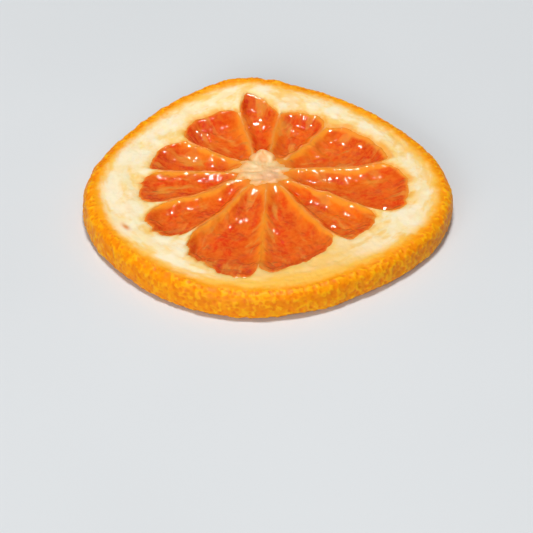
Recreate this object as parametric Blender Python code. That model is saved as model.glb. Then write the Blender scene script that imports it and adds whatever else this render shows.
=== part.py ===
"""Dried grapefruit slice: one round cut of fruit, lying flat.

Units are metres, +Z is up and the slice rests on z = 0. Angles are measured anticlockwise about
the core from +X. The whole slice is one solid: rind, pith, membranes, sunken pulp and core.
"""
import bmesh
import bpy
from math import atan2, cos, exp, hypot, pi, radians, sin, tau

MM = 0.001

# --- Rim -------------------------------------------------------------------------------------
HEIGHT = 5.6 * MM            # thickness of the rim of rind and pith
RIM_RADIUS = 35.7 * MM       # mean distance from the core to the rind's top edge
RIM_WAVES = (                # the outline's waves: times round, height, direction of a crest
    (1, 5.8 * MM, radians(-84)),   # the core sits well off the middle
    (2, 0.3 * MM, radians(0)),
    (3, 0.7 * MM, radians(-16)),
    (4, 0.5 * MM, radians(-4)),
    (5, 0.4 * MM, radians(-22)),
)
EDGE_ROUND = 1.3 * MM        # rounding of the rind's two edges
SIDE_BULGE = 0.5 * MM        # how far the rind's side stands out at mid height
SIDE_SPREAD = 0.6 * MM       # how much wider the lower edge is than the upper one
SPREAD_SWING = 0.5 * MM      # extra spread on one side of the slice
SPREAD_TOWARDS = radians(225)
PITH_CROWN = 0.25 * MM       # gentle swell of the pith's cut face

# --- Chambers and membranes ------------------------------------------------------------------
# One row per chamber, anticlockwise: direction of the membrane that starts it (degrees), how
# far that membrane runs and how much it bends (degrees), then the chamber's own reach, where
# across it the reach is greatest (-1 to 1) and how blunt its outer end is.
CHAMBERS = (
    (6, 25.0, 1, 26.0, -0.50, 3.5),
    (44, 20.5, 6, 22.0, 0.00, 4.0),
    (80, 19.5, 0, 25.7, 0.45, 1.25),
    (107, 19.5, -2, 22.3, 0.00, 5.0),
    (144, 19.0, 3, 23.7, 0.45, 4.5),
    (179, 21.5, 1, 26.5, 0.35, 3.0),
    (208, 22.5, 0, 29.4, -0.10, 4.0),
    (241, 24.5, -6, 34.2, 0.05, 5.5),
    (272, 32.4, -4, 33.0, -0.40, 3.5),
    (302, 26.0, 1, 29.3, -0.25, 3.5),
    (333, 25.5, -4, 30.8, -0.45, 3.0),
)
CHAMBER_START = 6.5 * MM     # distance from the core's centre to the pulp
MEMBRANE_HALF = 0.4 * MM     # half the thickness of a membrane's crest
MEMBRANE_SAG = 0.5 * MM      # dip of a membrane's crest halfway along
PULP_DEPTH = 1.9 * MM        # how far the pulp has sunk below the upper cut face
PULP_DEPTH_BELOW = 1.1 * MM  # the same on the underside
VALLEY_POWER = 4.0           # steepness of the pulp's sides against the membranes
VALLEY_RISE = 0.30           # share of a chamber's length over which its floor goes down
VALLEY_END = 0.16            # share over which it comes up again at the pith

# --- Core ------------------------------------------------------------------------------------
CORE_RADIUS = 4.6 * MM
CORE_LOBE = 0.9 * MM         # the core's lobes run out into the membranes
CORE_SWELL = 0.6 * MM        # the core stands above the cut face
CORE_HOLLOW = 0.3 * MM       # and is drawn in on the underside

# --- Warp ------------------------------------------------------------------------------------
LIFT = 2.4 * MM              # the far rim has curled up
LIFT_TOWARDS = radians(98)
LIFT_SPREAD = radians(44)
CREST = 1.4 * MM             # with a sharper crest in the middle of the curl
CREST_SPREAD = radians(15)
LIFT_POWER = 2.2
PRESSED_FLAT = 0.12 * MM     # curl smaller than this lies flat on the table

# --- Mesh ------------------------------------------------------------------------------------
ACROSS = (None, -1.0, -0.88, -0.66, -0.34, 0.0, 0.34, 0.66, 0.88, 1.0)  # columns per chamber
ALONG = (0.0, 0.12, 0.3, 0.55, 0.78, 0.92, 1.0)                         # rings along a chamber
OVER_CORE = (0.0, 0.4, 0.75, 1.0)                                       # rings over the core
OVER_PITH = (0.2, 0.6, 1.0)                                             # rings over the pith
CORNER_STEPS = 3                                                        # rings round each edge
MERGE = 0.00001

RIND = (0.93, 0.48, 0.05, 1.0)


def clear_scene():
    for obj in list(bpy.data.objects):
        bpy.data.objects.remove(obj, do_unlink=True)


def turn_between(a, b):
    """Signed angle from b to a, within half a turn."""
    return (a - b + pi) % tau - pi


def smooth(x):
    x = min(max(x, 0.0), 1.0)
    return x * x * (3.0 - 2.0 * x)


def rim_radius(angle):
    """Distance from the core to the rind's upper edge."""
    return RIM_RADIUS + sum(high * cos(n * (angle - crest)) for n, high, crest in RIM_WAVES)


def membrane_angle(index, radius):
    """Direction of a membrane at a distance from the core."""
    start, length, bend = CHAMBERS[index % len(CHAMBERS)][:3]
    turns = index // len(CHAMBERS)
    return radians(start + bend * min(radius / (length * MM), 1.2)) + tau * turns


def chamber_reach(index, across):
    """Distance from the core to the outer end of a chamber, -1 to 1 across it."""
    _, near_end, _, reach, skew, blunt = CHAMBERS[index]
    far_end = CHAMBERS[(index + 1) % len(CHAMBERS)][1]
    line = near_end + (far_end - near_end) * (across + 1.0) / 2.0
    peak = reach - (near_end + (far_end - near_end) * (skew + 1.0) / 2.0)
    side = (across - skew) / (1.0 - skew if across > skew else 1.0 + skew)
    return (line + peak * (1.0 - abs(side) ** blunt)) * MM


def column_angle(index, across, radius, spread):
    """Angle of one column of the mesh; spread goes from 0 at the pulp to 1 at the rind."""
    first = membrane_angle(index, radius)
    last = membrane_angle(index + 1, radius)
    if across is None:
        return first
    half = MEMBRANE_HALF / max(radius, CHAMBER_START) * (1.0 + 3.0 * spread)
    first, last = first + half, last - half
    return first + (last - first) * (across + 1.0) / 2.0


def valley_depth(across, along):
    """How deep the pulp lies, 0 to 1, at a place across and along its chamber."""
    if across is None or along <= 0.0 or along >= 1.0:
        return 0.0
    down = smooth(along / VALLEY_RISE)
    up = 1.0 - max(0.0, (along - 1.0 + VALLEY_END) / VALLEY_END) ** 2
    return (1.0 - abs(across) ** VALLEY_POWER) * down * up


def lift_at(x, y):
    """Height of the curl under a point."""
    angle, radius = atan2(y, x), hypot(x, y)
    off = turn_between(angle, LIFT_TOWARDS)
    curl = LIFT * exp(-(off / LIFT_SPREAD) ** 2) + CREST * exp(-(off / CREST_SPREAD) ** 2)
    return max(0.0, curl * (radius / rim_radius(angle)) ** LIFT_POWER - PRESSED_FLAT)


def half_section():
    """Profile from the upper pole round the rim to the lower pole, as (zone, share, side)."""
    upper = [("core", share) for share in OVER_CORE]
    upper += [("pulp", share) for share in ALONG]
    upper += [("pith", share) for share in OVER_PITH]
    upper += [("edge", step / CORNER_STEPS) for step in range(1, CORNER_STEPS + 1)]
    rows = [(zone, share, 1) for zone, share in upper]
    rows.append(("edge", 1.0, 0))
    rows += [(zone, share, -1) for zone, share in reversed(upper)]
    return rows


def spin_blank(bm, rows, columns):
    """Turn the profile into a plain closed disc; each ring keeps its row number as a layer."""
    ring_of = bm.verts.layers.int.new("ring")
    count = len(rows)
    chain = []
    for number in range(count):
        turn = pi * number / (count - 1)
        vert = bm.verts.new((RIM_RADIUS * sin(turn), 0.0, HEIGHT * cos(turn)))
        vert[ring_of] = number
        chain.append(vert)
    edges = [bm.edges.new(pair) for pair in zip(chain, chain[1:])]
    bmesh.ops.spin(bm, geom=chain + edges, cent=(0, 0, 0), axis=(0, 0, 1), dvec=(0, 0, 0),
                   angle=tau, steps=columns, use_merge=True, use_duplicate=False)
    bmesh.ops.remove_doubles(bm, verts=bm.verts, dist=MERGE)
    return ring_of


def core_point(share, side, across):
    """Distance from the centre and height of a point on the lumpy core."""
    lobe = CORE_LOBE * (1.0 if across is None else across ** 2)
    swell = CORE_SWELL * (1.0 - share ** 4)
    return share * (CORE_RADIUS + lobe), HEIGHT + swell if side > 0 else CORE_HOLLOW


def pulp_point(share, side, across, reach):
    """Distance and height of a point on a chamber's sunken pulp or on its membrane."""
    deep = valley_depth(across, share)
    sag = MEMBRANE_SAG * sin(pi * share)
    upper = HEIGHT - sag - (PULP_DEPTH - sag) * deep
    lower = CORE_HOLLOW * (1.0 - smooth(share)) + PULP_DEPTH_BELOW * deep
    return CHAMBER_START + share * (reach - CHAMBER_START), upper if side > 0 else lower


def rim_point(zone, share, side, reach, flat):
    """Distance and height of a point on the pith's cut face or round the rind's edge."""
    if zone == "pith":
        crown = PITH_CROWN * sin(pi * share)
        return reach + share * (flat - reach), HEIGHT + crown if side > 0 else 0.0
    turn = share * pi / 2.0
    drop = EDGE_ROUND * (1.0 - cos(turn))
    height = (HEIGHT / 2.0, HEIGHT - drop, drop)[side]
    return flat + EDGE_ROUND * sin(turn), height


def side_bulge(angle, height):
    """How far the rind's side stands out past its upper edge."""
    stand = 1.0 - (2.0 * height / HEIGHT - 1.0) ** 2
    spread = SIDE_SPREAD + SPREAD_SWING * cos(angle - SPREAD_TOWARDS)
    return SIDE_BULGE * stand + spread * (1.0 - height / HEIGHT)


def place(row, index, across):
    """Where one vertex of the blank belongs on the slice."""
    zone, share, side = row
    angle = column_angle(index, across, CHAMBER_START, 0.0)
    reach = chamber_reach(index, -1.0 if across is None else across)
    if zone == "core":
        radius, height = core_point(share, side, across)
    elif zone == "pulp":
        radius, height = pulp_point(share, side, across, reach)
        angle = column_angle(index, across, radius, 0.0)
    else:
        rim = rim_radius(angle)
        radius, height = rim_point(zone, share, side, reach, rim - EDGE_ROUND)
        outward = (radius - reach) / (rim - reach)
        angle = column_angle(index, across, radius, smooth(outward))
        radius += outward * side_bulge(angle, height)
    x, y = radius * cos(angle), radius * sin(angle)
    return x, y, height + lift_at(x, y)


def shape_slice(bm, ring_of, rows):
    """Move every vertex of the spun disc to its place on the slice."""
    per = len(ACROSS)
    columns = per * len(CHAMBERS)
    for vert in bm.verts:
        turn = atan2(vert.co.y, vert.co.x) % tau
        column = round(turn / tau * columns) % columns
        row = rows[vert[ring_of]]
        vert.co = place(row, column // per, ACROSS[column % per])


def centre_on_origin(bm):
    """Put the middle of the slice's footprint over the origin."""
    xs = [vert.co.x for vert in bm.verts]
    ys = [vert.co.y for vert in bm.verts]
    middle = (-(min(xs) + max(xs)) / 2.0, -(min(ys) + max(ys)) / 2.0, 0.0)
    bmesh.ops.translate(bm, verts=bm.verts, vec=middle)
    print("core at", [round(value / MM, 2) for value in middle[:2]], "mm")


def make_material(name, colour):
    material = bpy.data.materials.new(name)
    material.use_nodes = True
    shader = material.node_tree.nodes["Principled BSDF"]
    shader.inputs["Base Color"].default_value = colour
    shader.inputs["Roughness"].default_value = 0.45
    return material


def build_slice():
    bm = bmesh.new()
    rows = half_section()
    ring_of = spin_blank(bm, rows, len(ACROSS) * len(CHAMBERS))
    shape_slice(bm, ring_of, rows)
    centre_on_origin(bm)
    bmesh.ops.triangulate(bm, faces=bm.faces)
    bmesh.ops.recalc_face_normals(bm, faces=bm.faces)
    mesh = bpy.data.meshes.new("grapefruit_slice")
    bm.to_mesh(mesh)
    bm.free()
    obj = bpy.data.objects.new("grapefruit_slice", mesh)
    obj.data.materials.append(make_material("fruit", RIND))
    home = bpy.data.collections.new("dried_grapefruit_slice")
    bpy.context.scene.collection.children.link(home)
    home.objects.link(obj)
    print("faces", len(mesh.polygons))


clear_scene()
build_slice()
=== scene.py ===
# %% [markdown]
# # A dried grapefruit slice
#
# This is one round cut of grapefruit, part-dried and still moist, lying flat. It has a porous
# orange rind, a thick cream pith, eleven chambers of sunken, glossy pulp between thin membranes,
# and a lumpy core that sits off the middle. One edge has curled up.
#
# We could sculpt it by hand, but under its unevenness a fruit is very regular: everything
# radiates from the core. So each piece starts as a plain spun ring, grid or ball, and small
# functions of direction and distance from the core move its vertices.
#
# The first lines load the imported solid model. The looks are built around it, in its frame.

import bmesh
import bpy
import numpy as np
from mathutils import Euler, Matrix, Vector


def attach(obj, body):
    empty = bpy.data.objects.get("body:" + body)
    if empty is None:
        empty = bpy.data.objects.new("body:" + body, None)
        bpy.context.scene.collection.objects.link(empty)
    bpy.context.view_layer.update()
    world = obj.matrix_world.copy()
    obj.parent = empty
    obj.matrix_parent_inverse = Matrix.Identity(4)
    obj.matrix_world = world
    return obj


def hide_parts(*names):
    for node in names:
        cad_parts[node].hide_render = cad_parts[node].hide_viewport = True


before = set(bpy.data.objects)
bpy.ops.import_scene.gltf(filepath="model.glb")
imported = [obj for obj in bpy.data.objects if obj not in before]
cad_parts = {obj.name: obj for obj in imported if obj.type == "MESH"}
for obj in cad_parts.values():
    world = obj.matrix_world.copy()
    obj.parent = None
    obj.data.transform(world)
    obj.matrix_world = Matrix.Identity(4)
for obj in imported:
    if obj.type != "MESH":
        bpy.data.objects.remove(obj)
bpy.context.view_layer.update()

NODE = "grapefruit_slice"

# %% [markdown]
# ## The plan of the slice
#
# Height, outline, chambers and curl have the same sizes as in the solid model, in millimetres,
# so the looks and the solid agree. An outline that is a sum of a few waves looks grown rather
# than drawn. A chamber is given by the membrane that starts it and how far its pulp reaches.

# %% Sizes of the whole slice
MM = 0.001
CORE_AT = np.array([-0.69, 5.80])       # the core's place, with the footprint's middle at 0, 0
HEIGHT = 5.6
RIM_RADIUS = 35.7
RIM_WAVES = ((1, 5.8, -84), (2, 0.3, 0), (3, 0.7, -16), (4, 0.5, -4), (5, 0.4, -22))
CHAMBERS = np.array((  # membrane's direction, length, bend; chamber's reach, peak, bluntness
    (6, 25.0, 1, 26.0, -0.50, 3.5),
    (44, 20.5, 6, 22.0, 0.00, 4.0),
    (80, 19.5, 0, 25.7, 0.45, 1.25),
    (107, 19.5, -2, 22.3, 0.00, 5.0),
    (144, 19.0, 3, 23.7, 0.45, 4.5),
    (179, 21.5, 1, 26.5, 0.35, 3.0),
    (208, 22.5, 0, 29.4, -0.10, 4.0),
    (241, 24.5, -6, 34.2, 0.05, 5.5),
    (272, 32.4, -4, 33.0, -0.40, 3.5),
    (302, 26.0, 1, 29.3, -0.25, 3.5),
    (333, 25.5, -4, 30.8, -0.45, 3.0),
))
COUNT = len(CHAMBERS)
TURN = 2.0 * np.pi
CORE_EDGE = 5.0
CREST_DROP = 0.08            # a membrane's crest is this far under the cut
MEMBRANE_SAG = 0.45          # and hangs this much lower halfway along
TORN = 8                     # this membrane has sunk out of sight, into the pulp beside it
TORN_FROM, TORN_SAG = 12.0, 0.9
CURL_TOWARDS = 98.0          # the edge that has curled up
CURLS = ((2.4, 44.0), (1.4, 15.0))    # rise and spread of its broad and its narrow curl
CURL_POWER, CURL_START = 2.2, 0.12


def smooth(x):
    x = np.clip(x, 0.0, 1.0)
    return x * x * (3.0 - 2.0 * x)


def degrees_off(angle, middle):
    """How far a direction in radians lies from one in degrees, -180 to 180."""
    return (np.degrees(angle) - middle + 180.0) % 360.0 - 180.0


def around(angle, middle, spread):
    """1 in one direction, fading to 0 on both sides of it."""
    return np.exp(-(degrees_off(angle, middle) / spread) ** 2)


def rim_radius(angle):
    """Distance from the core to the rind's upper edge."""
    waves = [high * np.cos(n * (angle - np.radians(crest))) for n, high, crest in RIM_WAVES]
    return RIM_RADIUS + sum(waves)


def membrane_angle(index, radius):
    """Direction of a membrane, in radians, at a distance from the core."""
    start, length, bend = CHAMBERS[index % COUNT, :3]
    return np.radians(start + bend * np.minimum(radius / length, 1.0)) + TURN * (index // COUNT)


def chamber_reach(index, across):
    """Distance from the core to a chamber's outer end, -1 to 1 across it."""
    _, near_end, _, reach, skew, blunt = CHAMBERS[index].T
    far_end = CHAMBERS[(index + 1) % COUNT, 1]
    line = near_end + (far_end - near_end) * (across + 1.0) / 2.0
    peak = reach - (near_end + (far_end - near_end) * (skew + 1.0) / 2.0)
    side = np.abs(across - skew) / np.where(across > skew, 1.0 - skew, 1.0 + skew)
    return line + peak * (1.0 - side ** blunt)


def lift_at(x, y):
    """Height of the curled-up edge, for a place measured from the core."""
    angle, radius = np.arctan2(y, x), np.hypot(x, y)
    curl = sum(high * around(angle, CURL_TOWARDS, spread) for high, spread in CURLS)
    return np.maximum(0.0, curl * (radius / rim_radius(angle)) ** CURL_POWER - CURL_START)


print("chambers:", COUNT, "| rim", round(float(rim_radius(np.radians(90))), 1), "to",
      round(float(rim_radius(np.radians(-90))), 1), "mm from the core")

# %% [markdown]
# ## Unevenness
#
# Fruit is lumpy at several scales. Blender's own noise functions take one point at a time;
# these few lines take a whole array of points, and give the same value for the same point on
# every run. `lumps` is soft cloud-like noise, about -1 to 1. `cells` divides space into rounded
# cells and tells how far a point is from the middle of its cell and from the border to the
# next. Cells make both juice sacs and rind pores.

# %% Noise helpers
def chance(cell, salt):
    """A repeatable random number, 0 to 1, for each whole-numbered cell of space."""
    a, b, c = (cell[:, axis].astype(np.uint32) for axis in range(3))
    mixed = a * np.uint32(73856093) ^ b * np.uint32(19349663) ^ c * np.uint32(83492791)
    mixed = mixed ^ np.uint32(salt * 9973 + 1)
    for shift, factor in ((15, 2246822519), (13, 3266489917), (16, 668265263)):
        mixed = (mixed ^ (mixed >> np.uint32(shift))) * np.uint32(factor)
    return (mixed ^ (mixed >> np.uint32(15))) / 4294967296.0


CORNERS = [np.array((i, j, k)) for i in (0, 1) for j in (0, 1) for k in (0, 1)]


def lumps(points, scale, octaves, salt):
    total, high = np.zeros(len(points)), 1.0
    for octave in range(octaves):
        spot = points * scale * 2.03 ** octave + 31.7 * octave + 100.0
        base = np.floor(spot).astype(np.int64)
        part = spot - base
        part = part * part * part * (part * (part * 6.0 - 15.0) + 10.0)
        for corner in CORNERS:
            share = np.prod(np.where(corner, part, 1.0 - part), axis=1)
            total += high * share * (chance(base + corner, salt + octave) * 2.0 - 1.0)
        high *= 0.5
    return total * 1.3


def cells(points, salt, flat_period=0):
    """Distance to the cell's middle, distance to its border, and a tone for the whole cell.

    With a flat_period the cells are flat and the pattern repeats after that many of them."""
    spot = points + 100.0
    layers = (0,) if flat_period else (-1, 0, 1)
    wobble = np.array((0.9, 0.9, 0.0 if flat_period else 0.9))
    base = np.floor(spot).astype(np.int64)
    first = np.full(len(points), 9.0)
    second, tone = first.copy(), first.copy()
    for step in [(i, j, k) for i in (-1, 0, 1) for j in (-1, 0, 1) for k in layers]:
        cell = base + step
        name = cell % (flat_period, 2 ** 20, 2 ** 20) if flat_period else cell
        drift = np.column_stack([chance(name, salt + axis) - 0.5 for axis in range(3)])
        away = np.sqrt(((spot - cell - 0.5 - wobble * drift) ** 2).sum(axis=1))
        nearer = away < first
        second = np.where(nearer, first, np.minimum(second, away))
        tone = np.where(nearer, chance(name, salt + 5), tone)
        first = np.where(nearer, away, first)
    return first, second - first, tone


def flat_points(a, b, c=0.0):
    return np.column_stack([a, b, np.broadcast_to(c, np.shape(a))])


def polar_points(radius, angle, c=0.0):
    return flat_points(radius * np.cos(angle), radius * np.sin(angle), c)


def away_from(x, y, direction, out):
    """Distance to the place in this direction, in degrees, and this far from the core."""
    centre = out * np.exp(1j * np.radians(direction))
    return np.hypot(x - centre.real, y - centre.imag)


# %% [markdown]
# ## From a plain blank to a shaped piece
#
# A blank is a simple closed shape. `shape_piece` reads the positions of all its vertices, hands
# them to the piece's own function and writes back what it returns. The function may also return
# named values for each vertex, such as how deep it lies in its chamber. The materials read those
# later, so colour follows shape exactly.

# %% Blank and piece helpers
def finish_blank(bm, name):
    bmesh.ops.remove_doubles(bm, verts=bm.verts, dist=1e-6)
    bmesh.ops.recalc_face_normals(bm, faces=bm.faces)
    mesh = bpy.data.meshes.new(name)
    bm.to_mesh(mesh)
    bm.free()
    mesh.shade_smooth()
    return mesh


def shape_piece(mesh, place):
    """Moves every vertex to where place() says, and stores the values that it gives."""
    flat = np.empty(len(mesh.vertices) * 3)
    mesh.vertices.foreach_get("co", flat)
    x, y, z, values = place(*flat.reshape(-1, 3).T)
    z = z + lift_at(x, y)
    points = np.column_stack([x + CORE_AT[0], y + CORE_AT[1], z]) * MM
    mesh.vertices.foreach_set("co", points.ravel())
    for label, value in values.items():
        kind, field = ("FLOAT_VECTOR", "vector") if np.ndim(value) == 2 else ("FLOAT", "value")
        store = mesh.attributes.new(label, kind, "POINT")
        store.data.foreach_set(field, np.ascontiguousarray(value, dtype=float).ravel())
    mesh.update()
    return mesh


def put_in_scene(name, data):
    thing = bpy.data.objects.new(name, data)
    bpy.context.scene.collection.objects.link(thing)
    return thing


def add_piece(mesh, material):
    piece = put_in_scene(mesh.name, mesh)
    mesh.materials.append(material)
    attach(piece, "root")
    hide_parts(NODE)
    sides = sum(len(face.vertices) - 2 for face in mesh.polygons)
    print(f"{mesh.name}: {sides} triangles")


# %% [markdown]
# ## Paint and node helpers
#
# Colours are given the way a paint chart gives them, 0 to 255, and turned into the linear
# values that Blender's shaders expect. `Nodes` adds a shader node, sets its sockets and links
# them in one line, which keeps each material short enough to read.

# %% Colour and shader helpers
def paint(red, green, blue):
    srgb = np.array([red, green, blue]) / 255.0
    linear = np.where(srgb <= 0.04045, srgb / 12.92, ((srgb + 0.055) / 1.055) ** 2.4)
    return (*linear.tolist(), 1.0)


NODE_GAP = 200               # between nodes, in the editor's own units


class Nodes:
    """Adds nodes to one tree. A value that is a socket is linked, anything else is set."""

    def __init__(self, tree):
        self.tree = tree

    def put(self, kind, sockets=None, **settings):
        node = self.tree.nodes.new(kind)
        count = len(self.tree.nodes)
        node.location = (NODE_GAP * count, -NODE_GAP * (count % 4))
        for key, value in settings.items():
            setattr(node, key, value)
        return self.fill(node, sockets or {})

    def fill(self, node, sockets):
        for key, value in sockets.items():
            if isinstance(value, bpy.types.NodeSocket):
                self.tree.links.new(value, node.inputs[key])
            else:
                node.inputs[key].default_value = value
        return node

    def value(self, label, output="Fac"):
        return self.put("ShaderNodeAttribute", attribute_name=label).outputs[output]

    def place(self):
        return self.put("ShaderNodeTexCoord").outputs["Object"]

    def maths(self, operation, a, b):
        return self.put("ShaderNodeMath", {0: a, 1: b}, operation=operation).outputs[0]

    def times(self, a, b):
        return self.maths("MULTIPLY", a, b)

    def ramp(self, value, low, high):
        """0 at low, easing to 1 at high."""
        sockets = {"Value": value, "From Min": low, "From Max": high}
        node = self.put("ShaderNodeMapRange", sockets, interpolation_type="SMOOTHSTEP")
        return node.outputs["Result"]

    def mix(self, share, a, b):
        node = self.put("ShaderNodeMix", {"Factor": share, 6: a, 7: b}, data_type="RGBA")
        return node.outputs[2]

    def tint(self, colour, share, most, *rgb):
        """The colour with a paint laid over it, at most this strongly."""
        return self.mix(self.times(share, most), colour, paint(*rgb))

    def group(self, tree, **sockets):
        return self.fill(self.put("ShaderNodeGroup", node_tree=tree), sockets).outputs[0]

    def cloud(self, vector, scale, detail, roughness):
        sockets = {"Vector": vector, "Scale": scale, "Detail": detail, "Roughness": roughness}
        return self.put("ShaderNodeTexNoise", sockets).outputs["Fac"]


def new_group(name, output, **numbers):
    """An empty node group with a vector and these numbers as inputs and one float output."""
    tree, kind = bpy.data.node_groups.new(name, "ShaderNodeTree"), "NodeSocketFloat"
    tree.interface.new_socket("Vector", in_out="INPUT", socket_type="NodeSocketVector")
    for label, default in numbers.items():
        socket = tree.interface.new_socket(label, in_out="INPUT", socket_type=kind)
        socket.default_value = default
    tree.interface.new_socket(output, in_out="OUTPUT", socket_type=kind)
    nodes = Nodes(tree)
    return nodes, nodes.put("NodeGroupInput").outputs, nodes.put("NodeGroupOutput").inputs


def new_material(name):
    material = bpy.data.materials.new(name)
    material.use_nodes = True
    material.node_tree.nodes.clear()
    return material, Nodes(material.node_tree)


def close_material(n, **sockets):
    """Ends a material in a Principled shader with these sockets."""
    named = {key.replace("_", " "): value for key, value in sockets.items()}
    shader = n.put("ShaderNodeBsdfPrincipled", named)
    n.put("ShaderNodeOutputMaterial", {"Surface": shader.outputs[0]})


# %% [markdown]
# ## Two effects that every finish shares
#
# *Blotches* are soft-edged patches, such as stains in the pith or paler spots on the rind.
# *Wet grain* is the fine unevenness of a moist cut surface. Each is a node group, built once
# and placed in every material with its own scale and strength.

# %% Shared node groups
def make_blotches():
    n, given, result = new_group("Blotches", "Mask", Scale=200.0, From=0.45, To=0.65)
    cloud = n.cloud(given["Vector"], given["Scale"], 3.0, 0.55)
    n.tree.links.new(n.ramp(cloud, given["From"], given["To"]), result["Mask"])
    return n.tree


def make_wet_grain():
    n, given, result = new_group("Wet grain", "Height", Scale=900.0, Strength=0.5)
    cloud = n.cloud(given["Vector"], given["Scale"], 2.0, 0.5)
    n.tree.links.new(n.times(cloud, given["Strength"]), result["Height"])
    return n.tree


BLOTCHES, WET_GRAIN = make_blotches(), make_wet_grain()


def patches(n, vector, scale, low, high):
    return n.group(BLOTCHES, Vector=vector, Scale=scale, From=low, To=high)


def wet_normal(n, vector, scale, strength, bump):
    grain = n.group(WET_GRAIN, Vector=vector, Scale=scale, Strength=strength)
    sockets = {"Height": grain, "Distance": 0.2 * MM, "Strength": bump}
    return n.put("ShaderNodeBump", sockets).outputs[0]


print("node groups:", BLOTCHES.name, "and", WET_GRAIN.name)

# %% [markdown]
# ## Rind and pith
#
# The rim of the slice is one ring: cream pith cut flat above and below, with the rind round its
# outside. The pith runs in between the chambers, so the ring's inner edge follows their
# scalloped ends and is a little ragged.
#
# First come the lines that the ring follows. The ragged border is one function for the pith
# here and the pulp later, so the two always meet.

# %% Lines of the rim
EDGE_ROUND = 1.3
SIDE_BULGE, SIDE_SPREAD, SPREAD_SWING, SPREAD_TOWARDS = 0.5, 0.6, 0.5, 225.0
OUTSIDE = 50.0               # past every membrane's end, where they no longer bend
SIDE_STEP, STEP_FADE = 0.30, 5.0     # a membrane's small side-steps
RAGGED = 0.30
RAGGED_MOST = (232.0, 34.0)  # direction and spread of the stretch where the border is torn
SOAKED_MOST = (36.0, 42.0)   # and of the one where juice has soaked furthest into the pith


def membrane_lumps(index, radius, scale, salt):
    """Unevenness along a membrane."""
    return lumps(flat_points(radius * 0.25, index % COUNT * 5.0 + 0.0 * radius), scale, 2, salt)


def wandering(index, radius):
    """Direction of a membrane with its small side-steps, which end where it meets the pith."""
    fade = smooth((CHAMBERS[index % COUNT, 1] - radius) / STEP_FADE)
    step = SIDE_STEP * membrane_lumps(index, radius, 1.0, 19) * fade
    return membrane_angle(index, radius) + step / radius


def chamber_at(angle):
    """Index of the chamber that ends in a direction, and how far across it, -1 to 1."""
    starts = np.degrees([membrane_angle(number, OUTSIDE) for number in range(COUNT + 1)])
    inside = (np.degrees(angle) - starts[0]) % 360.0
    index = np.minimum(np.searchsorted(starts - starts[0], inside, "right"), COUNT) - 1
    inside = inside + starts[0] - starts[index]
    return index, 2.0 * inside / (starts[index + 1] - starts[index]) - 1.0


def ragged(angle, radius):
    """Small unevenness of the border between pulp and pith."""
    points = polar_points(radius, angle, 3.0)
    torn = 1.0 + 1.3 * around(angle, *RAGGED_MOST)
    return RAGGED * (lumps(points, 0.35, 2, 11) + 0.6 * torn * lumps(points, 0.9, 2, 12))


def pulp_edge(angle):
    """Distance from the core to the border between pulp and pith."""
    reach = chamber_reach(*chamber_at(angle))
    return reach + ragged(angle, reach)


def side_bulge(angle, height):
    stand = 1.0 - (2.0 * height / HEIGHT - 1.0) ** 2
    spread = SIDE_SPREAD + SPREAD_SWING * np.cos(angle - np.radians(SPREAD_TOWARDS))
    return SIDE_BULGE * stand + spread * (1.0 - height / HEIGHT)


border = pulp_edge(np.linspace(-np.pi, np.pi, 721))
print("pulp ends", round(float(border.min()), 1), "to", round(float(border.max()), 1), "mm out")

# %% [markdown]
# A circle spun about the upright axis gives a plain ring. Spinning it in 60 steps and then
# cutting each step into 16 is much quicker than spinning it in 960, because a spin searches
# for doubles. Each vertex then has a row round the section and a column round the slice, which
# is all that it needs to find its place on the fruit.

# %% Blank of the rim
FIRST_COLUMNS, CUTS = 60, 16
RIM_COLUMNS = FIRST_COLUMNS * CUTS
BLANK_RADIUS = 3.0
RIM_ROWS = (("pith_top", 40), ("edge_top", 10), ("side", 16), ("edge_bottom", 8),
            ("pith_bottom", 18), ("inner_wall", 4))
ROW_COUNT = sum(count for _, count in RIM_ROWS)


def runs_around(edge):
    """True for an edge that stays in one row of the ring."""
    (x, y, z), (u, v, w) = edge.verts[0].co, edge.verts[1].co
    return abs(z - w) < 1e-5 and abs(np.hypot(x, y) - np.hypot(u, v)) < 1e-4


def rim_blank():
    bm = bmesh.new()
    upright = Euler((np.pi / 2, 0.0, 0.0)).to_matrix().to_4x4()
    bmesh.ops.create_circle(bm, segments=ROW_COUNT, radius=1.0,
                            matrix=Matrix.Translation((BLANK_RADIUS, 0.0, 0.0)) @ upright)
    bmesh.ops.spin(bm, geom=bm.verts[:] + bm.edges[:], cent=(0, 0, 0), axis=(0, 0, 1),
                   dvec=(0, 0, 0), angle=TURN, steps=FIRST_COLUMNS, use_merge=True)
    rows = [edge for edge in bm.edges if runs_around(edge)]
    bmesh.ops.subdivide_edges(bm, edges=rows, cuts=CUTS - 1, use_grid_fill=True)
    return finish_blank(bm, "rind_and_pith")


def ring_address(x, y, z):
    """Direction, zone and share of that zone for each vertex of the blank ring."""
    angle = np.round(np.arctan2(y, x) / TURN * RIM_COLUMNS) * TURN / RIM_COLUMNS
    turn = np.arctan2(z, np.hypot(x, y) - BLANK_RADIUS)
    row = np.round((0.75 * np.pi - turn) / TURN * ROW_COUNT).astype(int) % ROW_COUNT
    zone = np.repeat(np.arange(len(RIM_ROWS)), [count for _, count in RIM_ROWS])
    share = np.concatenate([np.arange(count) / count for _, count in RIM_ROWS])
    return angle, zone[row], share[row]


rim_mesh = rim_blank()
print("rim blank:", len(rim_mesh.vertices), "vertices in", RIM_COLUMNS, "columns")

# %% [markdown]
# The section is drawn in six stretches: over the cut pith, round the top edge, down the side,
# round the bottom edge, back under the pith and up the inner wall. The rows crowd towards the
# pulp, where the pith curls down. `travel` is the distance walked along the section. With the
# direction it unrolls the rind flat, so pores can be spread evenly over it.

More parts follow.
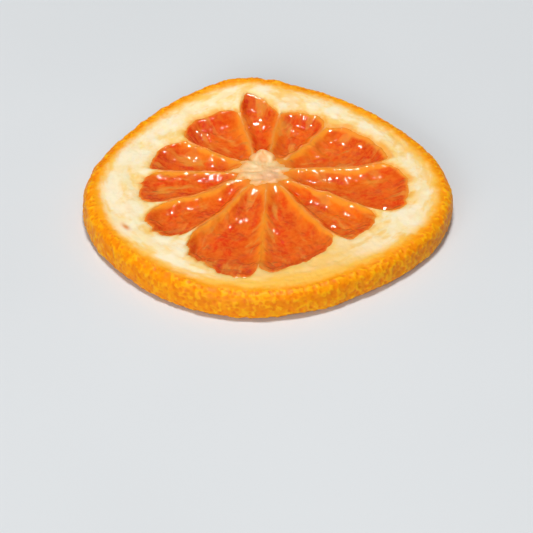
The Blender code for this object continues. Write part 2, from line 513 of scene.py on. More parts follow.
# %% Section of the rim
ARC = EDGE_ROUND * np.pi / 2.0
WALL = HEIGHT - 2.0 * EDGE_ROUND
CROWDING = 1.5
PITH_LIP, LIP_WIDTH = 0.28, 0.6      # the pith's cut edge rolls down towards the pulp
PITH_CROWN = 0.15


def rim_section(angle, zone, share):
    """The smooth rim: radius, height, lean of the surface, distance along the section."""
    edge, rim = pulp_edge(angle), rim_radius(angle)
    flat = rim - EDGE_ROUND

    def by_zone(*choices):
        return np.choose(zone, choices)

    quarter = np.where(zone == 1, share, 1.0 - share) * np.pi / 2.0
    out, down = EDGE_ROUND * np.sin(quarter), EDGE_ROUND * (1.0 - np.cos(quarter))
    radius = by_zone(edge + share ** CROWDING * (flat - edge), flat + out, rim, flat + out,
                     flat + (1.0 - (1.0 - share) ** CROWDING) * (edge - flat), edge)
    height = by_zone(HEIGHT + PITH_CROWN * np.sin(np.pi * share), HEIGHT - down,
                     HEIGHT - EDGE_ROUND - share * WALL, down, 0.0, share * HEIGHT)
    travel = by_zone(radius - flat, EDGE_ROUND * quarter, ARC + share * WALL,
                     ARC + WALL + EDGE_ROUND * (np.pi / 2.0 - quarter),
                     2.0 * ARC + WALL + flat - radius, 0.0)
    lean = by_zone(0.0, np.sin(quarter), 1.0, np.sin(quarter), 0.0, 1.0)
    outward = np.clip((radius - edge) / (rim - edge), 0.0, 1.0)
    depth = np.maximum(0.0, by_zone(flat - radius, 0.0, 0.0, 0.0, flat - radius, flat - radius))
    return radius + outward * side_bulge(angle, height), height, lean, travel, depth, radius - edge


# %% [markdown]
# ### Pores, pebbles and fibres
#
# Oil glands pit the rind about once every millimetre, with pebbly bumps between. The pith is
# smoother: soft ridges follow its fibres round the slice. All of it is real relief, since the
# outline shows every bump.

# %% Relief of the rim
PORE_PITCH = 1.05
PORES_AROUND = round(TURN * RIM_RADIUS / PORE_PITCH)
PORE_SPREAD, PORE_DEPTH, PEBBLE_RISE, WOBBLE = 0.34, 0.12, 0.09, 0.12
PITH_RIDGE, PITH_PUFF, FIBRE_ROUND = 0.10, 0.05, 36.0
# The first of these stretches, at the front, is painted shade.
AMBER_MOST = ((-76.0, 32.0), (78.0, 34.0), (2.0, 26.0))   # stretches of warmer pith
DEEP = 9.0                           # counted as far from the rind, for the inner wall
NICK = (-145.0, 34.0, 1.3)           # direction, radius and length of a small brown nick


def rim_place(x, y, z):
    angle, zone, share = ring_address(x, y, z)
    radius, height, lean, travel, depth, from_pulp = rim_section(angle, zone, share)
    top, below, inner = zone == 0, zone == 4, zone == 5
    skin = np.where(top | below, smooth((0.5 - depth) / 0.5), np.where(inner, 0.0, 1.0))
    unrolled = flat_points(angle / TURN * PORES_AROUND, travel / PORE_PITCH, 0.5)
    middle, _, tone = cells(unrolled, 21, PORES_AROUND)
    pit = np.exp(-(middle / PORE_SPREAD) ** 2) * (0.35 + 0.65 * tone)
    points = polar_points(radius, angle, height)
    pebble = lumps(points, 1.5, 2, 22)
    rough = WOBBLE * lumps(points, 0.33, 2, 13) + PEBBLE_RISE * pebble
    relief = skin * (rough - PORE_DEPTH * pit)
    fibre = polar_points(FIBRE_ROUND, angle, 3.0 * radius)
    ridges = PITH_RIDGE * lumps(fibre, 0.16, 3, 14) + PITH_PUFF * lumps(points, 0.8, 2, 15)
    cut = (1.0 - skin) * ridges
    _, across = chamber_at(angle)
    lip = PITH_LIP * np.exp(-(from_pulp / LIP_WIDTH) ** 1.3) * smooth((1.0 - np.abs(across)) / 0.2)
    height = height + np.where(top, cut - lip, np.where(below, np.maximum(cut + lip, 0.0), 0.0))
    upward = np.where(top | (zone == 1), 1.0, -1.0)
    height = height + relief * upward * np.sqrt(1.0 - lean ** 2)
    radius = radius + relief * lean
    direction, reach, size = NICK
    nick = np.hypot(np.radians(degrees_off(angle, direction)) * radius, (radius - reach) * 2.4)
    # front marks painted shade. It paints the front of the pith a deeper amber and widens the band
    # of oil colour there.
    front, far, right = (around(angle, *stretch) for stretch in AMBER_MOST)
    values = {"depth": np.where(inner, DEEP, depth), "skin": skin, "pit": pit * skin,
              "pebble": pebble, "fibre": fibre * MM,
              "from_pulp": np.where(inner, 0.0, from_pulp),
              "warm": front + 0.3 * far + 0.3 * right, "oil_and_shade_reach": 1.8 * front + 0.5 * right,
              "soaked": around(angle, *SOAKED_MOST),
              "nick": np.exp(-(nick / size) ** 2) * top}
    return (*polar_points(radius, angle).T[:2], np.maximum(height, 0.0), values)


rim_mesh = shape_piece(rim_mesh, rim_place)
print("pores round the rind:", PORES_AROUND)

# %% [markdown]
# ### The finish of rind and pith
#
# The pith is cream with straw-coloured fibres and paler, drier patches. Juice has soaked into
# it beside the pulp, and oil beside the rind, so it warms to amber on both sides. At the front
# the amber is deeper and the oil's band wider, which is painted shade. Each pore of the rind is
# a darker dot, since oil shows through, and the tops of the bumps between are painted a lighter
# yellow, a painted highlight. The whole rim lets some light in under its surface.

# %% Rind and pith material
def pith_colour(n, place):
    fibre, depth, from_pulp = n.value("fibre", "Vector"), n.value("depth"), n.value("from_pulp")
    straw = patches(n, fibre, 150.0, 0.44, 0.66)
    pale = patches(n, place, 230.0, 0.40, 0.62)
    pith = n.mix(n.times(straw, 0.75), paint(247, 224, 174), paint(246, 203, 112))
    pith = n.tint(pith, pale, 0.7, 249, 236, 208)
    # The amber of the front stretch is painted shade.
    amber = n.times(n.ramp(n.maths("ADD", n.value("warm"), n.times(straw, 0.35)), 0.15, 1.1), 0.8)
    pith = n.mix(amber, pith, paint(245, 193, 100))
    soaked = n.maths("ADD", from_pulp, n.maths("SUBTRACT", pale, 0.5))
    soaked = n.maths("SUBTRACT", soaked, n.times(n.value("soaked"), 0.7))
    pith = n.tint(pith, n.ramp(soaked, 2.6, 0.4), 0.60, 248, 198, 102)
    pith = n.tint(pith, n.ramp(soaked, 0.8, -0.3), 0.75, 244, 160, 50)
    # Near the rind the pith turns orange with oil. At the front this band is widened by painted
    # shade.
    oil = n.maths("SUBTRACT", depth, n.maths("ADD", n.value("oil_and_shade_reach"), n.times(straw, 0.9)))
    return n.tint(pith, n.ramp(oil, 3.0, 0.1), 0.9, 249, 188, 70)


def make_rim_finish():
    material, n = new_material("rind_and_pith")
    place, depth, pit = n.place(), n.value("depth"), n.value("pit")
    rough_line = n.times(patches(n, place, 600.0, 0.3, 0.7), 0.8)
    margin = n.ramp(n.maths("ADD", depth, rough_line), 2.3, 0.6)
    colour = n.mix(margin, pith_colour(n, place), paint(249, 160, 18))
    zest = n.mix(patches(n, place, 420.0, 0.38, 0.66), paint(243, 140, 2), paint(251, 158, 4))
    # Painted highlight: the tops of the pebbly bumps are painted a lighter yellow.
    zest = n.tint(zest, n.ramp(n.value("pebble"), -0.1, 0.7), 0.8, 255, 182, 14)
    zest = n.tint(zest, n.ramp(pit, 0.10, 0.75), 0.8, 236, 122, 0)
    colour = n.mix(n.value("skin"), colour, zest)
    colour = n.tint(colour, n.value("nick"), 0.9, 222, 124, 16)
    close_material(n, Base_Color=colour, Roughness=0.45,
                   Normal=wet_normal(n, place, 1500.0, 0.6, 0.4),
                   Subsurface_Weight=0.35, Subsurface_Radius=(1.0, 0.55, 0.25),
                   Subsurface_Scale=0.0009, IOR=1.38, Specular_IOR_Level=0.22)
    return material


add_piece(rim_mesh, make_rim_finish())

# %% [markdown]
# ## Pulp
#
# Each chamber holds a body of juice sacs: long soft drops that point at the core. Here they have
# sunk between the membranes and run together into a glossy gel. It clings to the membranes and
# dips between, so each chamber is a smooth trough. One membrane has sunk too and hardly shows.
#
# A grid with a thickness is the blank. Its two directions run across and along the chamber, and
# its two faces become the upper and the lower cut.

# %% Shape of a chamber
PULP_GRID = (84, 120)
PULP_START = 4.3             # it begins under the core
PULP_TUCK, TUCK_DROP = 0.7, 0.5       # and runs on under the pith by this much
PULP_DEPTH, PULP_DEPTH_BELOW = 1.60, 1.0
PULP_CLEAR = 0.03            # the underside of the pulp stays this far off the table
FULLER = (-88.0, 34.0, 0.45)  # on this side the chambers have sunk less
SLOPE, SLOPE_SWING, LEAN_TOWARDS = 2.7, 0.7, -16.0    # width of the slope beside a membrane
END_SLOPE = 3.4                       # and at the chamber's outer end
LINE_WIDTH = 0.32                     # the pulp turns pale this close to a membrane
BELOW_MEMBRANE, END_DROP = 0.07, 0.05
SUNKEN = (1.0, 0.9, 1.0, 1.0, 0.85, 0.38, 0.9, 1.0, 1.0, 0.95, 0.9)   # share of the depth


def crest_height(index, radius):
    """Height of a membrane's crest: level with the cut at both ends, sunken between."""
    length = CHAMBERS[index % COUNT, 1]
    share = np.clip((radius - CORE_EDGE) / (length - CORE_EDGE), 0.0, 1.0)
    sag = MEMBRANE_SAG * np.sin(np.pi * share)
    if index % COUNT == TORN:
        sag = sag + TORN_SAG * smooth((radius - TORN_FROM) / 8.0) * smooth((1.0 - share) / 0.15)
    return HEIGHT - CREST_DROP - sag


def pulp_blank(name):
    bm = bmesh.new()
    bmesh.ops.create_grid(bm, x_segments=PULP_GRID[0], y_segments=PULP_GRID[1], size=1.0)
    bmesh.ops.solidify(bm, geom=bm.faces[:], thickness=0.1)
    return finish_blank(bm, name)


def chamber_point(index, across, along):
    """Radius, direction, half width and distance to the outer end."""
    border = chamber_reach(index, across)
    first, last = membrane_angle(index, border), membrane_angle(index + 1, border)
    border = border + ragged(first + (last - first) * (across + 1.0) / 2.0, border)
    radius = PULP_START + along * (border + PULP_TUCK - PULP_START)
    first, last = wandering(index, radius), wandering(index + 1, radius)
    half = (last - first) / 2.0 * radius
    return radius, (first + last) / 2.0 + across * (last - first) / 2.0, half, border - radius


def chamber_slope(index, across, half):
    """0 at a membrane, 1 where the trough is level. The troughs all lean one way."""
    lean = np.cos(membrane_angle(index, 15.0) - np.radians(LEAN_TOWARDS))
    width = SLOPE + SLOPE_SWING * lean * np.sign(across)
    return smooth((1.0 - np.abs(across)) * half / np.minimum(width, 0.95 * half))


def membrane_line(index, across, half, radius):
    """1 right beside a membrane that shows, fading within a fraction of a millimetre."""
    line = np.exp(-((1.0 - np.abs(across)) * half / LINE_WIDTH) ** 2)
    beside_torn = (index == TORN) & (across < 0.0) | (index == TORN - 1) & (across > 0.0)
    return line * np.where(beside_torn, 1.0 - smooth((radius - TORN_FROM + 3.0) / 5.0), 1.0)


def trough_depth(index, angle, radius, to_end):
    """How far the middle of the trough has sunk, 0 to 1."""
    down = SUNKEN[index] * smooth((radius - CORE_EDGE + 0.6) / 5.0)
    middle, spread, fuller = FULLER
    return down * smooth(to_end / END_SLOPE) * (1.0 - fuller * around(angle, middle, spread))


print("slope beside a membrane:", np.round(chamber_slope(3, np.linspace(-1, 1, 5), 4.0), 2))

# %% [markdown]
# ### Gel
#
# The relief of the gel has three sizes. Broad swells, drawn out along the chamber, are the
# drops that have run together. Fine creases between them are what is left of their skins.
# Ripples, and small beads high on the slopes, break the mirror image of the lamp into separate
# glints. A few larger drops have kept their round form; those are listed by place.

# %% Relief of the gel
SAC_WIDTH, SAC_LENGTH = 2.2, 5.0
BEAD_WIDTH, BEAD_LENGTH, BEAD_SPREAD = 1.5, 1.9, 0.38
NO_REPEAT = 1000
SAC_RISE, SWELL_RISE, CREASE_RISE, RIPPLE_RISE, BEAD_RISE = 0.03, 0.14, 0.03, 0.10, 0.17
STREAKS, SWELLS, RIPPLES, CREASES = (0.42, 0.15), (0.33, 0.17), (0.45, 0.62), (0.80, 0.25)
BEND, BEND_PACKING = 0.9, 0.11        # how far the sacs wander sideways, and how slowly
GRAIN_STRETCH = 0.36
BLUSH = (0.25, 0.25, 0.45, 0.25, 0.10, 0.35, 0.40, 0.50, 0.50, 0.00, 0.10)
ROUND_DROPS = (  # chamber, direction, radius, size and rise
    (0, 33.0, 17.4, 1.05, 0.16), (4, 160.0, 20.6, 1.5, 0.42), (10, -6.0, 26.0, 1.5, 0.30),
    (7, -109.0, 27.3, 1.0, 0.25), (7, -108.0, 31.4, 1.2, 0.22), (2, 99.0, 18.5, 0.9, 0.15),
    (9, -44.0, 20.5, 1.0, 0.25), (6, -135.0, 24.0, 1.0, 0.22),
    (4, 151.0, 16.8, 1.1, 0.34), (4, 149.0, 19.4, 0.9, 0.26), (4, 153.0, 10.2, 0.9, 0.28),
    (4, 156.0, 13.2, 0.8, 0.20), (4, 157.0, 22.4, 0.8, 0.20), (5, -176.0, 15.2, 0.9, 0.20),
    (9, -32.0, 15.1, 0.9, 0.22), (10, -4.0, 17.5, 0.8, 0.18), (10, -8.0, 22.5, 0.9, 0.20),
    (3, 131.0, 18.6, 0.9, 0.22), (0, 22.0, 24.0, 0.8, 0.20), (0, 28.0, 22.6, 0.8, 0.18),
)


def round_drops(index, radius, angle):
    """Rise of the larger round drops, and a mask of them."""
    x, y = radius * np.cos(angle), radius * np.sin(angle)
    rise, mask = np.zeros_like(x), np.zeros_like(x)
    for chamber, direction, out, size, high in ROUND_DROPS:
        if chamber == index:
            away = away_from(x, y, direction, out) / size
            rise += high * np.exp(-(away * 1.25) ** 2.6)
            mask = np.maximum(mask, smooth((1.05 - away) / 0.5))
    return rise, mask


def drawn_out(side, radius, layer, packing, salt):
    """Lumps drawn out along the chamber, with this many to a millimetre across and along."""
    across, along = packing
    return lumps(flat_points(side * across, radius * along, layer), 1.0, 2, salt)


def bead_domes(side, radius, layer, crowd):
    """Small domes, 0 to 1, on flat cells. Only some cells hold one, and more in a crowd."""
    plain = flat_points(side / BEAD_WIDTH, radius / BEAD_LENGTH, np.floor(layer) + 0.5)
    away, _, chosen = cells(plain, 25, NO_REPEAT)
    return np.exp(-(away / BEAD_SPREAD) ** 2) * smooth((chosen - 0.15) / 0.3) * smooth(crowd)


def gel_relief(index, across, radius, half, to_end, upper):
    """Rise of the gel over a smooth trough, and what its finish needs to know."""
    sideways, to_wall = across * half, (1.0 - np.abs(across)) * half
    layer = 7.3 * index + np.where(upper, 0.0, 100.0)
    bend = flat_points(BEND_PACKING * sideways, BEND_PACKING * radius, layer)
    side = sideways + BEND * lumps(bend, 1.0, 1, 16)
    sacs = flat_points(side / SAC_WIDTH, radius / SAC_LENGTH, layer)
    _, between, tone = cells(sacs, 17)
    swell = drawn_out(side, radius, layer + 3.0, SWELLS, 23)
    creases = 1.0 - np.abs(drawn_out(side, radius, layer, CREASES, 24))
    broad = SAC_RISE * (smooth(between / 0.5) - 0.5) + SWELL_RISE * swell
    broad = broad + CREASE_RISE * (creases ** 3 - 0.4)
    calm = 0.35 + 0.65 * smooth((1.0 - np.abs(across)) / 0.30)
    ripple = drawn_out(side, radius, layer + 5.0, RIPPLES, 28) * smooth(to_wall / 0.9)
    ripple = ripple * (0.9 + 0.5 * smooth((to_wall - 1.0) / 2.0))
    crowd = lumps(bend, 2.6, 2, 26) * 1.5 + 1.1 * np.abs(across) + 0.3
    ends = smooth((to_end + 0.4) / 1.5) * smooth((radius - CORE_EDGE + 1.0) / 4.0)
    beads = bead_domes(side, radius, layer, crowd) * ends * smooth(to_wall / 0.7)
    rise = ends * (broad * calm + RIPPLE_RISE * ripple) + BEAD_RISE * beads
    looks = {"tone": tone, "bead": beads, "crease": 1.0 - smooth(between / 0.30),
             "streak": drawn_out(side, radius, layer, STREAKS, 18),
             "grain": flat_points(side, radius * GRAIN_STRETCH, layer) * MM}
    return rise, looks


def pulp_place(index):
    def place(x, y, z):
        upper = z > z.mean()
        x, y = np.clip(x, -1.0, 1.0), np.clip(y, -1.0, 1.0)
        across, along = 0.4 * x + 0.6 * np.sin(x * np.pi / 2.0), (y + 1.0) / 2.0
        radius, angle, half, to_end = chamber_point(index, across, along)
        relief, looks = gel_relief(index, across, radius, half, to_end, upper)
        drops, mask = round_drops(index, radius, angle)
        share = (across + 1.0) / 2.0
        first, last = crest_height(index, radius), crest_height(index + 1, radius)
        rest = (1.0 - share) * first + share * last
        rest = rest - BELOW_MEMBRANE - END_DROP * smooth(1.0 - to_end / 2.0)
        rest = rest - TUCK_DROP * smooth(-to_end / PULP_TUCK)
        slope = chamber_slope(index, across, half)
        sunk = slope * trough_depth(index, angle, radius, to_end)
        top = rest - PULP_DEPTH * sunk + relief + drops
        bottom = np.maximum(HEIGHT - rest + PULP_DEPTH_BELOW * sunk - relief, PULP_CLEAR)
        # glow is for painted light. In the chambers to the left and right it is highest on the
        # slope up to the farther membrane, the slope that faces the front.
        looks.update(slope=slope, sunk=sunk, line=membrane_line(index, across, half, radius),
                     to_end=to_end, drop=mask * upper, radius=radius,
                     glow=across * np.cos(angle), blush=np.full_like(x, BLUSH[index]),
                     soaked=around(angle, *SOAKED_MOST))
        return (*polar_points(radius, angle).T[:2], np.where(upper, top, bottom), looks)
    return place


print("drops that stay round:", len(ROUND_DROPS))

# %% [markdown]
# ### The finish of the pulp
#
# Pulp is coloured gel: deep red-orange where it is thick and low, clear orange where it climbs
# thinly up a membrane, and darkest red at its rounded outer end. The deeper red of the low middle
# and of the end is partly painted shade, and the slopes that face the front are painted a
# brighter orange, which is painted light. Streaks run with the sacs, and thin yellow skins show
# between them. Light scatters under the surface, and a film of juice makes that surface as
# smooth as water. The small beads are drops of juice, so they get a clear coat as well, and
# shine most.

# %% Pulp material
def make_pulp_finish():
    material, n = new_material("wet_pulp")
    grain, slope, to_end = n.value("grain", "Vector"), n.value("slope"), n.value("to_end")
    streak, tone, crease = n.value("streak"), n.value("tone"), n.value("crease")
    place = n.place()
    red = patches(n, grain, 310.0, 0.48, 0.64)
    tan = patches(n, grain, 400.0, 0.52, 0.66)
    fine = patches(n, place, 1300.0, 0.40, 0.62)
    cloudy = patches(n, place, 260.0, 0.46, 0.62)
    # The low middle of each trough and its outer end are painted a deeper red. This is partly the
    # gel's own colour and partly painted shade.
    level = n.maths("ADD", slope, n.times(streak, 0.14))
    colour = n.mix(n.ramp(level, 0.25, 0.85), paint(248, 122, 12), paint(233, 92, 4))
    colour = n.tint(colour, cloudy, 0.40, 232, 122, 20)
    colour = n.tint(colour, n.ramp(streak, 0.0, 0.9), 0.35, 212, 44, 4)
    colour = n.mix(n.times(n.value("blush"), n.value("sunk")), colour, paint(222, 60, 8))
    end = n.maths("ADD", to_end, n.times(streak, 1.1))
    colour = n.tint(colour, n.ramp(end, 4.6, 1.6), 0.65, 210, 46, 4)
    # Painted light: the slopes that face the front are painted a brighter orange.
    glow = n.maths("ADD", n.value("glow"), n.times(streak, 0.18))
    lit = n.ramp(glow, -0.2, 0.8)
    colour = n.tint(colour, lit, 0.45, 249, 130, 10)
    colour = n.tint(colour, red, 0.66, 228, 44, 2)
    colour = n.tint(colour, tan, 0.72, 230, 150, 58)
    colour = n.tint(colour, n.ramp(tone, 0.25, 0.05), 0.30, 206, 40, 4)
    # The pale thin band beside a membrane is partly the real thin gel over it. Painted light makes
    # the band wider and stronger on the slopes that face the front.
    level = n.maths("SUBTRACT", level, n.times(lit, 0.16))
    thin = n.times(n.ramp(level, 0.34, 0.0), n.maths("ADD", n.times(lit, 0.65), 0.35))
    colour = n.mix(thin, colour, paint(252, 154, 36))
    colour = n.tint(colour, n.ramp(n.value("radius"), 8.5, 5.0), 0.7, 249, 152, 48)
    # The pulp turns paler orange at its outer border. This is partly juice soaked there and partly
    # painted light against the shade under the pith's edge.
    soft = n.maths("SUBTRACT", to_end, n.times(n.value("soaked"), 0.9))
    colour = n.tint(colour, n.ramp(soft, 0.6, -0.3), 0.85, 247, 156, 50)
    colour = n.tint(colour, fine, 0.22, 246, 148, 40)
    colour = n.tint(colour, crease, 0.20, 241, 140, 44)
    colour = n.tint(colour, n.value("line"), 0.70, 244, 144, 62)
    colour = n.tint(colour, n.value("drop"), 0.30, 236, 130, 40)
    close_material(n, Base_Color=colour, Roughness=0.08,
                   Normal=wet_normal(n, grain, 1400.0, 0.8, 0.02),
                   Coat_Weight=n.ramp(n.value("bead"), 0.1, 0.6), Coat_Roughness=0.05,
                   Subsurface_Weight=0.5, Subsurface_Radius=(1.0, 0.30, 0.10),
                   Subsurface_Scale=0.0009, IOR=1.40)
    return material


pulp_finish = make_pulp_finish()
for number in range(COUNT):
    pulp_mesh = shape_piece(pulp_blank(f"pulp_{number + 1}"), pulp_place(number))
    add_piece(pulp_mesh, pulp_finish)

# %% [markdown]
# ## Membranes
#
# A thin skin stands between every two chambers. It runs from the core out into the pith, where
# it widens. Its crest shows as a soft orange line, pale at both ends, that sags and wanders.
#
# The blank is again a grid with a thickness, stood on edge. One function gives a membrane's
# path, thickness and crest, and a second puts the blank's two faces there. All eleven membranes
# share one piece.

# %% Membranes
MEMBRANE_GRID = (150, 24)
MEMBRANE_FROM, MEMBRANE_PAST = 3.0, 2.4      # its start, and how far it runs into the pith
MEMBRANE_THICK, ROOT_THICK, WEDGE_THICK = 0.32, 1.5, 1.2
ROOT_LONG, WEDGE_LONG = 3.5, 4.6
PITH_DIVE, PITH_DIVE_LONG = 0.6, 2.2         # its crest goes under the pith at one end
CORE_DIVE, CORE_DIVE_LONG, CORE_DIVE_TO = 0.40, 2.6, 7.2      # and under the core at the other
TORN_DIVE = 0.5
MEMBRANE_APART = 4.0                         # the blanks are stacked this far apart


def membrane_blank():
    bm = bmesh.new()
    for number in range(COUNT):
        made = bmesh.ops.create_grid(bm, x_segments=MEMBRANE_GRID[0],
                                     y_segments=MEMBRANE_GRID[1], size=1.0)
        faces = list({face for vert in made["verts"] for face in vert.link_faces})
        walls = bmesh.ops.solidify(bm, geom=faces, thickness=0.1)
        verts = set(made["verts"])
        verts.update(item for item in walls["geom"] if isinstance(item, bmesh.types.BMVert))
        bmesh.ops.translate(bm, verts=list(verts), vec=(0.0, 0.0, MEMBRANE_APART * number))
    return finish_blank(bm, "membranes")


def membrane_path(index, along):
    """Radius, direction, thickness and crest of one membrane."""
    length = CHAMBERS[index, 1] + MEMBRANE_PAST
    radius = MEMBRANE_FROM + along * (length - MEMBRANE_FROM)
    thick = MEMBRANE_THICK + ROOT_THICK * np.exp(-((radius - MEMBRANE_FROM) / ROOT_LONG) ** 2)
    thick = thick + WEDGE_THICK * smooth((radius - length) / WEDGE_LONG + 1.0)
    thick = thick * (1.0 + 0.22 * membrane_lumps(index, radius, 3.0, 20))
    crest = crest_height(index, radius) + 0.10 * membrane_lumps(index, radius, 2.6, 21)
    dive = PITH_DIVE * smooth((radius - length) / PITH_DIVE_LONG + 1.0)
    dive = dive + CORE_DIVE * smooth((CORE_DIVE_TO - radius) / CORE_DIVE_LONG)
    if index == TORN:
        sunk = smooth((radius - TORN_FROM) / 6.0) * smooth((length - 3.0 - radius) / 2.0)
        dive = np.maximum(dive, TORN_DIVE * sunk)
    return radius, wandering(index, radius), thick, crest - dive


def membrane_place(x, y, z):
    number = np.round(z / MEMBRANE_APART).astype(int)
    side = np.where(z - MEMBRANE_APART * number > -0.05, 1.0, -1.0)
    along, level = (x + 1.0) / 2.0, np.sin(y * np.pi / 2.0)
    out_x, out_y, out_z, ends = (np.zeros_like(x) for _ in range(4))
    for index in range(COUNT):
        here = number == index
        radius, angle, thick, crest = membrane_path(index, along[here])
        narrow = 1.0 - 0.7 * np.abs(level[here]) ** 12
        offset = side[here] * thick * narrow / 2.0
        out_x[here] = radius * np.cos(angle) - offset * np.sin(angle)
        out_y[here] = radius * np.sin(angle) + offset * np.cos(angle)
        out_z[here] = HEIGHT / 2.0 + level[here] * (crest - HEIGHT / 2.0)
        far = smooth((radius - radius.max() + 4.0) / 2.5)
        ends[here] = np.exp(-((radius - MEMBRANE_FROM) / 3.8) ** 2) + far
    return out_x, out_y, out_z, {"pale": np.clip(ends, 0.0, 1.0)}


def make_membrane_finish():
    material, n = new_material("membrane")
    place, pale = n.place(), n.value("pale")
    paler = patches(n, place, 400.0, 0.4, 0.6)
    colour = n.mix(n.times(paler, 0.7), paint(244, 140, 54), paint(246, 160, 76))
    colour = n.tint(colour, pale, 0.9, 248, 200, 130)
    close_material(n, Base_Color=colour, Roughness=0.22,
                   Normal=wet_normal(n, place, 1200.0, 0.6, 0.4),
                   Subsurface_Weight=0.2, Subsurface_Radius=(1.0, 0.6, 0.3),
                   Subsurface_Scale=0.0003, IOR=1.36)
    return material


add_piece(shape_piece(membrane_blank(), membrane_place), make_membrane_finish())

# %% [markdown]
# ## Core
#
# Where the membranes meet, the fruit has a soft spongy core. It is a lumpy cushion with an arm
# running into each membrane. Two knobs on its far side stand a little above the cut.
#
# A ball is the blank. Flattened, its latitude becomes the distance from the centre, so the top
# and the underside join at a rounded edge.

# %% Shape of the core
CORE_RADIUS = 4.7
ARMS = (3.4, 2.0, 0.8, 0.8, 2.6, 3.8, 3.4, 2.4, 1.6, 2.0, 2.8)    # one to each membrane
ARM_WIDTH = 1.0
KNOBS = (  # direction, distance, size and rise
    (108, 5.1, 1.8, 1.0), (78, 5.1, 1.7, 0.9), (94, 6.4, 1.5, 0.5), (24, 4.4, 1.6, 0.35),
    (-32, 4.4, 1.6, 0.15), (-62, 3.9, 1.9, 0.10), (-110, 4.6, 1.6, 0.35), (-156, 4.9, 1.7, 0.40),
    (174, 4.8, 1.7, 0.35), (145, 4.2, 1.5, 0.25), (110, 1.8, 2.2, 0.25), (-40, 1.6, 2.0, 0.15),
    (93, 4.9, 1.5, 0.20),
)
CORE_RINGS, CORE_SPOKES = 64, 240
CORE_DROP, CORE_DOME, CORE_LUMPY = 0.30, 0.20, 0.26   # its edge lies low, its middle higher
CORE_UNDER = 0.45                     # its underside stays this far off the table
PINK_AT, PINK_SPREAD = (1.9, -3.0), 2.8


def core_blank():
    bm = bmesh.new()
    bmesh.ops.create_uvsphere(bm, u_segments=CORE_SPOKES, v_segments=CORE_RINGS, radius=1.0)
    return finish_blank(bm, "core")


def core_reach(angle):
    """Distance from the middle to the core's edge: arms, and whatever knobs stick out."""
    reach = CORE_RADIUS + 0.45 * lumps(polar_points(2.2, angle), 0.9, 2, 27)
    for index, arm in enumerate(ARMS):
        path = float(np.degrees(membrane_angle(index, 6.0)))
        width = np.degrees(ARM_WIDTH / CORE_EDGE)
        reach = np.maximum(reach, CORE_RADIUS - 0.6 + arm * around(angle, path, width))
    for direction, out, size, _ in KNOBS:
        off = np.radians(degrees_off(angle, direction))
        beside = out * np.sin(off)
        facing = (np.abs(beside) < size) & (np.cos(off) > 0.0)
        far_side = out * np.cos(off) + np.sqrt(np.maximum(size ** 2 - beside ** 2, 0.0))
        reach = np.maximum(reach, np.where(facing, far_side, 0.0))
    return reach


def knob_rise(x, y):
    """Height of the knobs, which run into each other."""
    rise = np.zeros_like(x)
    for direction, out, size, high in KNOBS:
        away = away_from(x, y, direction, out) / size
        rise += high * np.exp(-(away ** 2) * 1.2)
    return rise


def core_place(x, y, z):
    angle = np.arctan2(y, x)
    share = np.hypot(x, y) ** 0.8
    radius = share * core_reach(angle)
    ground = polar_points(radius, angle)
    lumpy = CORE_LUMPY * lumps(ground, 0.55, 2, 29)
    close = 1.0 - share ** 16
    lift = CORE_DOME * (1.0 - share ** 3) + lumpy + knob_rise(ground[:, 0], ground[:, 1])
    top = HEIGHT - CORE_DROP + lift
    bottom = CORE_UNDER - 0.25 * lumpy
    height = HEIGHT / 2.0 + close * (np.where(z >= 0, top, bottom) - HEIGHT / 2.0)
    to_pink = np.hypot(ground[:, 0] - PINK_AT[0], ground[:, 1] - PINK_AT[1])
    pink = np.exp(-(to_pink / PINK_SPREAD) ** 2)
    hollow = smooth(-lumpy / 0.25)
    return (*ground.T[:2], height, {"out": share, "pink": pink, "hollow": hollow})


# %% Core material
def make_core_finish():
    material, n = new_material("core")
    place, out = n.place(), n.value("out")
    dots = patches(n, place, 900.0, 0.57, 0.72)
    blush = patches(n, place, 350.0, 0.42, 0.64)
    colour = n.mix(n.times(blush, 0.6), paint(241, 204, 150), paint(236, 182, 124))
    colour = n.tint(colour, n.value("hollow"), 0.5, 238, 162, 84)
    colour = n.tint(colour, n.value("pink"), 0.8, 230, 168, 130)
    colour = n.tint(colour, n.ramp(out, 0.50, 0.92), 0.85, 246, 170, 86)
    colour = n.tint(colour, dots, 0.7, 240, 156, 56)
    close_material(n, Base_Color=colour, Roughness=0.36,
                   Normal=wet_normal(n, place, 1200.0, 0.8, 0.5),
                   Subsurface_Weight=0.4, Subsurface_Radius=(1.0, 0.5, 0.25),
                   Subsurface_Scale=0.0009, IOR=1.38)
    return material


add_piece(shape_piece(core_blank(), core_place), make_core_finish())

# %% [markdown]
# ## Floor, light and camera
#
# The slice lies on a plain pale floor. A small lamp nearly overhead puts a crisp glint on every
# wet ridge, and a broad one in front fills the shadows. The world's light is bright overhead and
# dim low down, where wet level surfaces mirror it, so they keep their colour; seen directly it
# is plain and pale. Far from the slice the floor glows a little, so there is no dark horizon.

# %% Floor
FLOOR_HALF, GLOW_FROM = 0.9, 0.15    # metres


def make_floor():
    bm = bmesh.new()
    bmesh.ops.create_grid(bm, x_segments=1, y_segments=1, size=FLOOR_HALF)
    mesh = finish_blank(bm, "floor")
    floor = put_in_scene("floor", mesh)
    material, n = new_material("pale_floor")
    cloudy = patches(n, n.place(), 6.0, 0.3, 0.7)
    colour = n.mix(cloudy, paint(215, 218, 220), paint(219, 222, 224))
    away = n.put("ShaderNodeVectorMath", {0: n.place()}, operation="LENGTH").outputs["Value"]
    sweep = n.mix(n.ramp(away, GLOW_FROM, FLOOR_HALF), paint(0, 0, 0), paint(150, 152, 154))
    close_material(n, Base_Color=colour, Roughness=0.6, Emission_Color=sweep,
                   Emission_Strength=1.0)
    mesh.materials.append(material)


make_floor()


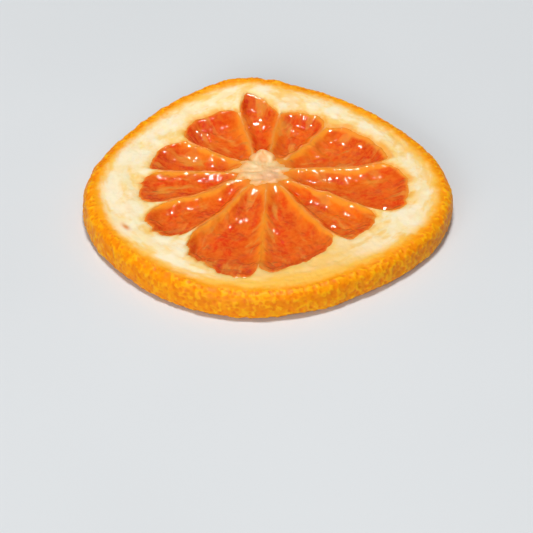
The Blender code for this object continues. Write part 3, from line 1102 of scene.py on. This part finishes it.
# %% Lights
def add_lamp(name, place, size, watts):
    """A rectangular lamp that aims at the middle of the slice."""
    data = bpy.data.lights.new(name, "AREA")
    data.shape, data.energy = "RECTANGLE", watts
    data.size, data.size_y = size
    lamp = put_in_scene(name, data)
    lamp.location = place
    lamp.rotation_euler = (Vector() - Vector(place)).to_track_quat("-Z", "Y").to_euler()


OVERHEAD, LOW_DOWN, SEEN = 0.20, 0.11, 0.70      # the world's strength


def light_world():
    world = bpy.data.worlds.new("studio")
    world.use_nodes = True
    world.node_tree.nodes.clear()
    n = Nodes(world.node_tree)
    direction = n.put("ShaderNodeTexCoord").outputs["Generated"]
    high = n.put("ShaderNodeSeparateXYZ", {"Vector": direction}).outputs["Z"]
    glow = n.maths("POWER", n.maths("MAXIMUM", high, 0.0), 3.0)
    glow = n.maths("ADD", n.times(glow, OVERHEAD), LOW_DOWN)
    seen = n.put("ShaderNodeLightPath").outputs["Is Camera Ray"]
    strength = n.put("ShaderNodeMix", {"Factor": seen, 2: glow, 3: SEEN}).outputs[0]
    lit = n.put("ShaderNodeBackground", {"Color": paint(242, 244, 246), "Strength": strength})
    n.put("ShaderNodeOutputWorld", {"Surface": lit.outputs[0]})
    bpy.context.scene.world = world


add_lamp("overhead", (0.0, 0.10, 0.80), (0.18, 0.13), 4.5)
add_lamp("front_fill", (-0.35, -1.05, 0.45), (0.9, 0.5), 8.0)
light_world()
bpy.context.scene.view_settings.view_transform = "Standard"

# %% Camera
LENS, SENSOR = 168.6, 36.0
DISTANCE = 0.52
CORE_BELOW_VIEW = 36.0       # the core is seen from this many degrees above the floor
TILT, SWING = 38.21, 0.08    # the camera's own aim is a little lower and to the right


def add_camera():
    data = bpy.data.cameras.new("camera")
    data.sensor_width, data.lens = SENSOR, LENS
    camera = put_in_scene("camera", data)
    look = np.radians(CORE_BELOW_VIEW)
    core = Vector((CORE_AT[0] * MM, CORE_AT[1] * MM, HEIGHT * MM))
    camera.location = core + DISTANCE * Vector((0.0, -np.cos(look), np.sin(look)))
    pitch, yaw = np.radians(TILT), np.radians(SWING)
    ahead = Vector((np.sin(yaw) * np.cos(pitch), np.cos(yaw) * np.cos(pitch), -np.sin(pitch)))
    camera.rotation_euler = ahead.to_track_quat("-Z", "Y").to_euler()
    bpy.context.scene.camera = camera
    print("lens", data.lens, "mm, looking down", TILT, "degrees")


add_camera()
